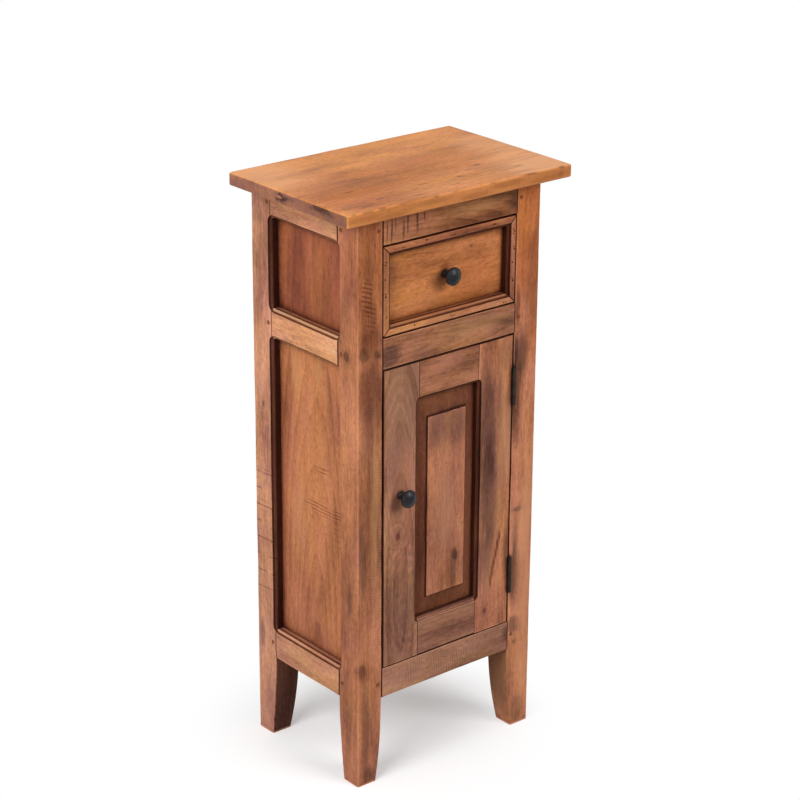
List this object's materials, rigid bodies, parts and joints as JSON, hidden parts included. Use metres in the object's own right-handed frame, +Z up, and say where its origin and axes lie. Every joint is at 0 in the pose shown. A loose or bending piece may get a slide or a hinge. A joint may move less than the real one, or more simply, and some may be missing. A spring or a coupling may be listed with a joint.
{
  "type": "storage side table with door",
  "caption": "Slim solid-wood side table on tapered legs, with an inset drawer over a framed, hinged cupboard door, recessed side panels and black iron knobs.",
  "frame": {"origin": "on the floor, under the middle of the overall box", "axes": "+Z up, front face towards -Y, +X to the right seen from the front"},
  "size_m": [0.366, 0.243, 0.8],
  "materials": {
    "top_wood": "honey wax, satin",
    "frame_wood": "reclaimed hardwood, dark glaze and satin wax",
    "panel_wood": "red-brown satin wax",
    "inner_wood": "bare planed wood",
    "peg_wood": "dark end grain",
    "black_iron": "black, worn satin",
    "steel": "plain zinc",
    "catch_plastic": "brown moulded plastic"
  },
  "bodies": {
    "cabinet": {"back_board_left": "inner_wood", "back_board_middle": "inner_wood", "back_board_right": "inner_wood", "back_bottom_rail": "frame_wood", "back_left_leg": "frame_wood", "back_nails": "steel", "back_right_leg": "frame_wood", "back_top_rail": "frame_wood", "cabinet_floor": "inner_wood", "catch_screws": "steel", "drawer_stops": "inner_wood", "front_bottom_rail": "frame_wood", "front_left_leg": "frame_wood", "front_middle_rail": "frame_wood", "front_right_leg": "frame_wood", "front_top_rail": "frame_wood", "hinge_leg_leaves": "black_iron", "hinge_leg_screws": "black_iron", "hinge_pins": "black_iron", "joint_pegs": "peg_wood", "left_bottom_rail": "frame_wood", "left_drawer_runner": "inner_wood", "left_floor_cleat": "inner_wood", "left_kicker": "inner_wood", "left_lower_panel": "panel_wood", "left_middle_rail": "frame_wood", "left_top_rail": "frame_wood", "left_upper_panel": "panel_wood", "magnetic_catch": "catch_plastic", "right_bottom_rail": "frame_wood", "right_drawer_runner": "inner_wood", "right_floor_cleat": "inner_wood", "right_kicker": "inner_wood", "right_lower_panel": "panel_wood", "right_middle_rail": "frame_wood", "right_top_rail": "frame_wood", "right_upper_panel": "panel_wood", "top_board": "top_wood", "top_screws": "steel"},
    "drawer": {"drawer_back": "inner_wood", "drawer_bottom": "inner_wood", "drawer_front": "panel_wood", "drawer_knob": "black_iron", "drawer_knob_screw": "steel", "drawer_left_side": "inner_wood", "drawer_moulding_bottom": "frame_wood", "drawer_moulding_left": "frame_wood", "drawer_moulding_right": "frame_wood", "drawer_moulding_top": "frame_wood", "drawer_right_side": "inner_wood"},
    "door": {"door_bottom_rail": "frame_wood", "door_hinge_stile": "frame_wood", "door_knob": "black_iron", "door_knob_screw": "steel", "door_lock_stile": "frame_wood", "door_panel": "panel_wood", "door_screws": "black_iron", "door_top_rail": "frame_wood", "hinge_door_leaves": "black_iron", "strike_plate": "steel"}
  },
  "joints": [
    {"name": "drawer_slide", "type": "slide", "parent": "cabinet", "child": "drawer", "axis": [0, -1, 0], "range_m": [0, 0.125]},
    {"name": "door_swing", "type": "hinge", "parent": "cabinet", "child": "door", "pos_m": [0.1092, -0.1013, 0.372], "axis": [0, 0, 1], "range_deg": [0, 170]}
  ]
}
